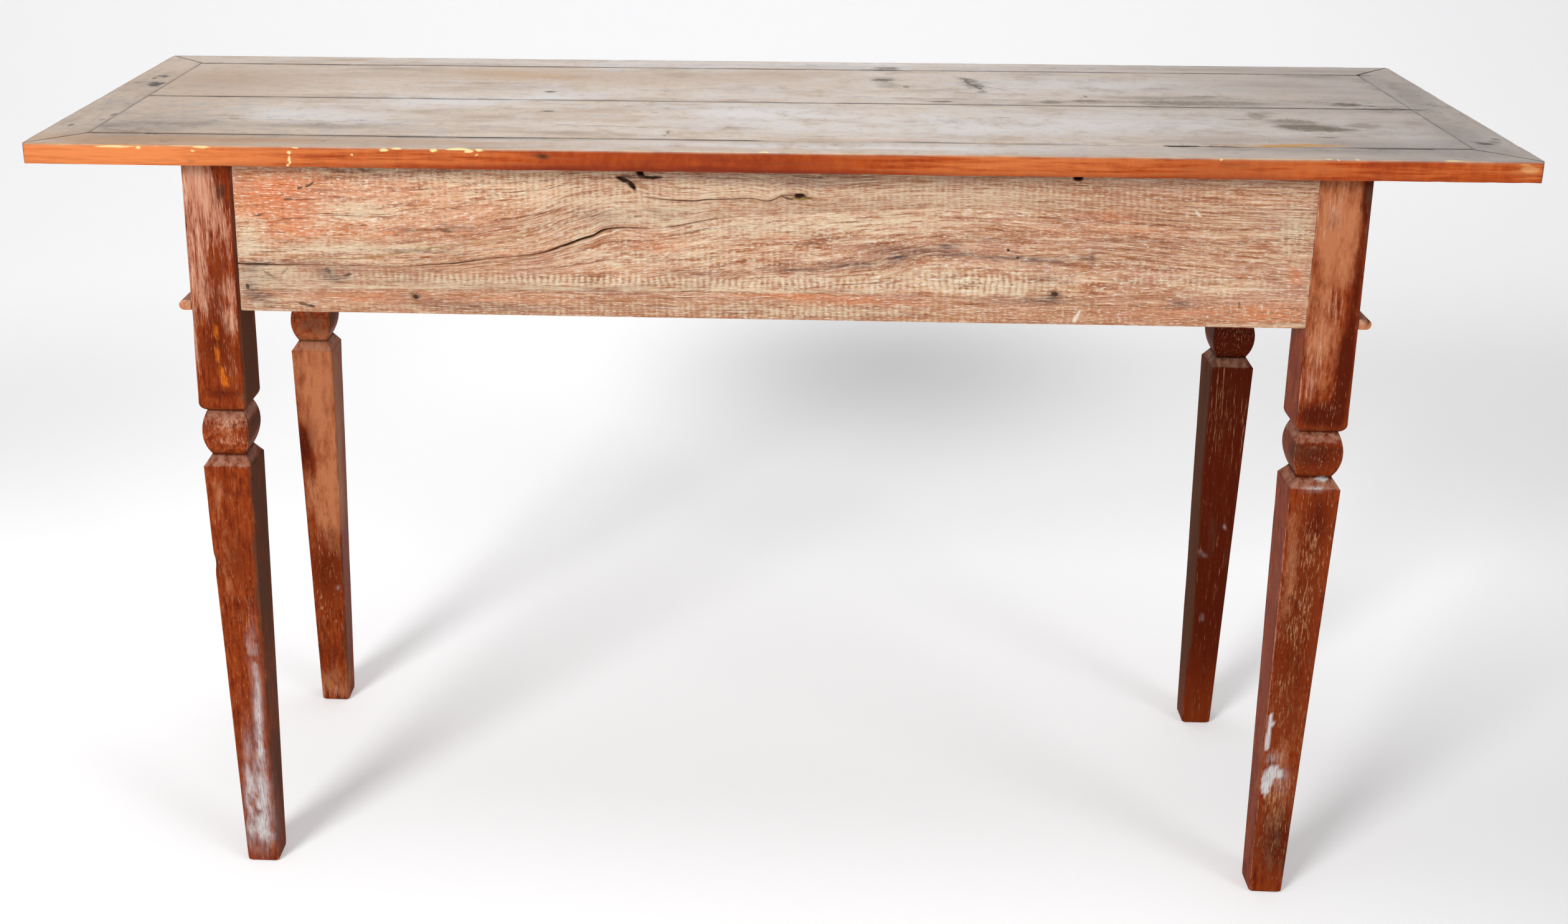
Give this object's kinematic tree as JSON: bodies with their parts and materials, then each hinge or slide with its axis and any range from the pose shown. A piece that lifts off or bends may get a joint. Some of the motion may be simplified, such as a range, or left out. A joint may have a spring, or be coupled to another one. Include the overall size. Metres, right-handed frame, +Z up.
{
  "type": "kitchen table with drawers",
  "caption": "Narrow wooden kitchen table: mitre-framed boarded top, rough-sawn plain apron, square legs with a cushion knop and taper, and drawers that slide out of one long side.",
  "frame": {"origin": "on the floor under the middle of the top", "axes": "+X along the table to its right end seen from the plain side, +Y to the drawer side, +Z up"},
  "size_m": [1.37, 0.458, 0.78],
  "materials": {
    "weathered_board": "bare weathered boards, grey-beige, with a worn orange-red varnish on the edges",
    "worn_varnish": "red-brown varnish worn through to paler wood along the grain",
    "rough_sawn_board": "rough-sawn bare board with fine saw marks, oiled in patches",
    "inner_wood": "bare planed softwood, dry and a little dusty",
    "old_steel": "dull dark steel with a trace of rust"
  },
  "bodies": {
    "table": {"apron_left": "worn_varnish", "apron_plain_side": "rough_sawn_board", "apron_right": "worn_varnish", "bead_brads": "old_steel", "bead_drawer_side": "worn_varnish", "bead_left": "worn_varnish", "bead_right": "worn_varnish", "drawer_divider": "worn_varnish", "drawer_rail_lower": "worn_varnish", "drawer_rail_upper": "worn_varnish", "drawer_stops": "inner_wood", "guide_centre": "inner_wood", "guide_left": "inner_wood", "guide_right": "inner_wood", "kicker_centre": "inner_wood", "kicker_left": "inner_wood", "kicker_right": "inner_wood", "leg_drawer_side_left": "worn_varnish", "leg_drawer_side_right": "worn_varnish", "leg_plain_side_left": "worn_varnish", "leg_plain_side_right": "worn_varnish", "mitre_tongues": "inner_wood", "runner_centre": "inner_wood", "runner_left": "inner_wood", "runner_right": "inner_wood", "top_buttons": "inner_wood", "top_end_left": "weathered_board", "top_end_right": "weathered_board", "top_plank_drawer_side": "weathered_board", "top_plank_plain_side": "weathered_board", "top_rail_drawer_side": "weathered_board", "top_rail_plain_side": "weathered_board", "top_screws": "old_steel"},
    "drawer_left": {"drawer_left_back": "inner_wood", "drawer_left_bottom": "inner_wood", "drawer_left_bottom_brads": "old_steel", "drawer_left_front": "worn_varnish", "drawer_left_knob": "worn_varnish", "drawer_left_side_inner": "inner_wood", "drawer_left_side_outer": "inner_wood"},
    "drawer_right": {"drawer_right_back": "inner_wood", "drawer_right_bottom": "inner_wood", "drawer_right_bottom_brads": "old_steel", "drawer_right_front": "worn_varnish", "drawer_right_knob": "worn_varnish", "drawer_right_side_inner": "inner_wood", "drawer_right_side_outer": "inner_wood"}
  },
  "joints": [
    {"name": "drawer_left_slide", "type": "slide", "parent": "table", "child": "drawer_left", "axis": [0, 1, 0], "range_m": [0, 0.27]},
    {"name": "drawer_right_slide", "type": "slide", "parent": "table", "child": "drawer_right", "axis": [0, 1, 0], "range_m": [0, 0.27]}
  ]
}
